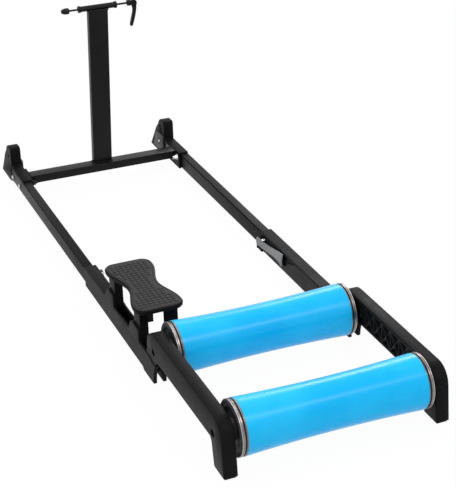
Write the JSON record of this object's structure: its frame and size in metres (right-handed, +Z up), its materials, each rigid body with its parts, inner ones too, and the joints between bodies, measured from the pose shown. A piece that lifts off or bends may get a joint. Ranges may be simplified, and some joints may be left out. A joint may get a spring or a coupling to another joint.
{
  "type": "bike rollers",
  "caption": "Bike rollers with waisted rollers between ribbed side frames, a sliding front frame with a leaning fork post and quick-release skewer, cam latches and a lift-off step.",
  "frame": {"origin": "bottom centre of the object's box, on the floor between the side frames", "axes": "+X to the rider's right, +Y towards the fork stand at the front, +Z up"},
  "size_m": [0.4654, 1.5936, 0.4951],
  "materials": {
    "frame_nylon": "satin black moulded nylon",
    "black_paint": "satin black powder coat",
    "lever_grey": "silver-grey moulded plastic",
    "roller_blue": "glossy sky blue",
    "cap_metal": "turned and blackened, with a bright rim",
    "rail_black": "black anodised extrusion",
    "zinc_steel": "bright zinc plate",
    "plate_grey": "matt grey",
    "pad_rubber": "black rubber"
  },
  "bodies": {
    "side_frames": {"side_frame_left": "frame_nylon", "side_frame_right": "frame_nylon", "rear_foot_pad_left": "pad_rubber", "rear_foot_pad_right": "pad_rubber", "rear_axle": "zinc_steel", "middle_axle": "zinc_steel", "rear_axle_spacer_left": "zinc_steel", "rear_axle_spacer_right": "zinc_steel", "middle_axle_spacer_left": "zinc_steel", "middle_axle_spacer_right": "zinc_steel", "rear_axle_screw_left": "zinc_steel", "rear_axle_screw_right": "zinc_steel", "middle_axle_screw_left": "zinc_steel", "middle_axle_screw_right": "zinc_steel", "latch_bracket_left": "frame_nylon", "latch_bracket_right": "frame_nylon", "latch_pin_left": "zinc_steel", "latch_pin_right": "zinc_steel", "clamp_shoe_left": "frame_nylon", "clamp_shoe_right": "frame_nylon", "latch_adjuster_left": "zinc_steel", "latch_adjuster_right": "zinc_steel"},
    "rear_roller": {"rear_roller_tube": "roller_blue", "rear_roller_cap_left": "cap_metal", "rear_roller_cap_right": "cap_metal", "rear_bearing_left": "zinc_steel", "rear_bearing_right": "zinc_steel"},
    "middle_roller": {"middle_roller_tube": "roller_blue", "middle_roller_cap_left": "cap_metal", "middle_roller_cap_right": "cap_metal", "middle_bearing_left": "zinc_steel", "middle_bearing_right": "zinc_steel"},
    "front_frame": {"rail_left": "rail_black", "rail_right": "rail_black", "rail_glide_left": "frame_nylon", "rail_glide_right": "frame_nylon", "front_foot_left": "frame_nylon", "front_foot_right": "frame_nylon", "front_foot_pad_left": "pad_rubber", "front_foot_pad_right": "pad_rubber", "foot_plate_left": "plate_grey", "foot_plate_right": "plate_grey", "rail_bolt_rear_left": "zinc_steel", "rail_bolt_front_left": "zinc_steel", "rail_bolt_rear_right": "zinc_steel", "rail_bolt_front_right": "zinc_steel", "lock_nut_left": "zinc_steel", "lock_nut_right": "zinc_steel", "crossbar": "black_paint", "fork_post": "black_paint", "fork_tube": "black_paint"},
    "latch_left": {"latch_lever_left": "lever_grey"},
    "latch_right": {"latch_lever_right": "lever_grey"},
    "skewer": {"skewer_rod": "zinc_steel", "skewer_head": "black_paint", "cam_pin": "zinc_steel"},
    "skewer_nut": {"skewer_nut": "black_paint"},
    "skewer_lever": {"skewer_lever": "black_paint"},
    "step": {"step": "frame_nylon"}
  },
  "joints": [
    {"name": "rear_roller_spin", "type": "hinge", "parent": "side_frames", "child": "rear_roller", "pos_m": [0.00275, -0.74225, 0.0735], "axis": [1, 0, 0], "continuous": true},
    {"name": "middle_roller_spin", "type": "hinge", "parent": "side_frames", "child": "middle_roller", "pos_m": [0.00275, -0.43025, 0.0735], "axis": [1, 0, 0], "continuous": true},
    {"name": "front_frame_slide", "type": "slide", "parent": "side_frames", "child": "front_frame", "axis": [0, -1, 0], "range_m": [0, 0.32]},
    {"name": "latch_left_turn", "type": "hinge", "parent": "side_frames", "child": "latch_left", "pos_m": [-0.18975, 0.02375, 0.026], "axis": [0, 0, 1], "range_deg": [0, 110]},
    {"name": "latch_right_turn", "type": "hinge", "parent": "side_frames", "child": "latch_right", "pos_m": [0.19525, 0.02375, 0.026], "axis": [0, 0, -1], "range_deg": [0, 110]},
    {"name": "skewer_slide", "type": "slide", "parent": "front_frame", "child": "skewer", "axis": [1, 0, 0], "range_m": [-0.027, 0.021]},
    {"name": "skewer_nut_turn", "type": "hinge", "parent": "skewer", "child": "skewer_nut", "pos_m": [-0.07925, 0.55775, 0.4865], "axis": [1, 0, 0], "continuous": true},
    {"name": "skewer_lever_swing", "type": "hinge", "parent": "skewer", "child": "skewer_lever", "pos_m": [0.09875, 0.55775, 0.4865], "axis": [0, -1, 0], "range_deg": [0, 180]},
    {"name": "step_lift", "type": "slide", "parent": "side_frames", "child": "step", "axis": [0, 0, 1], "range_m": [0, 0.06]}
  ]
}
